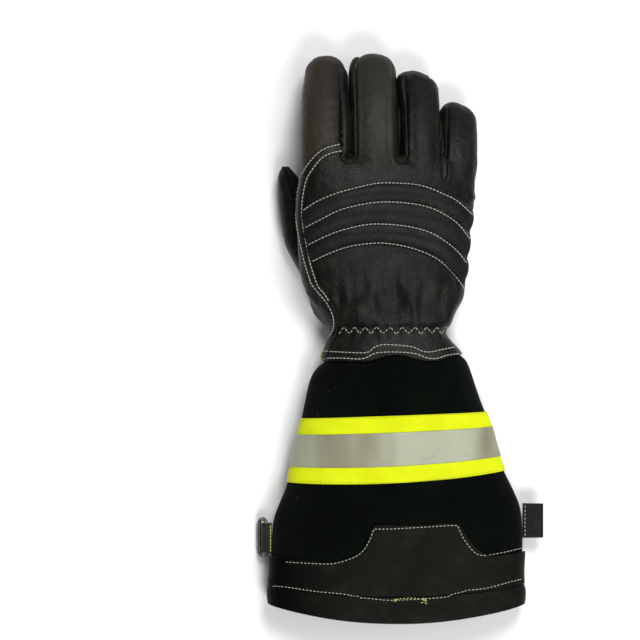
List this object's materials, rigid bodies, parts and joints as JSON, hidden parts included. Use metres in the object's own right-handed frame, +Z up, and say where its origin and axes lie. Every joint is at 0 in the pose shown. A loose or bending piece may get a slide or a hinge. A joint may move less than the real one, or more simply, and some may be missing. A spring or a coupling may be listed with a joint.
{
  "type": "firefighter glove",
  "caption": "Right-hand firefighter's gauntlet glove in black leather and suede, with a padded knuckle guard, a flared cuff and a reflective tape band.",
  "frame": {"origin": "on the surface that the glove lies on, under the middle of its outline", "axes": "+Z up, out of the back of the hand; +Y towards the fingertips; -X towards the thumb"},
  "size_m": [0.188, 0.375, 0.0596],
  "materials": {
    "leather": "black grain leather, soft sheen",
    "rib_leather": "black grain leather over padding",
    "patch_leather": "black oiled leather",
    "suede": "black suede, matt, with a short nap",
    "hi_vis": "fluorescent yellow woven tape",
    "reflective": "silver reflective film on cloth",
    "steel": "nickel-plated wire"
  },
  "bodies": {
    "root": {"back_panel": "leather", "palm_panel": "leather", "index_middle_strip": "leather", "middle_ring_strip": "leather", "ring_little_strip": "leather", "thumb": "leather", "back_seam_strip": "leather", "knuckle_pad": "rib_leather", "cuff_back": "suede", "cuff_palm": "suede", "hem_back": "patch_leather", "hem_palm": "suede", "cuff_guard": "patch_leather", "hi_vis_tape": "hi_vis", "reflective_stripe": "reflective", "palm_patch": "patch_leather", "pull_strap": "leather", "side_tab": "leather", "hang_ring": "steel", "ring_loop": "leather"}
  },
  "joints": []
}
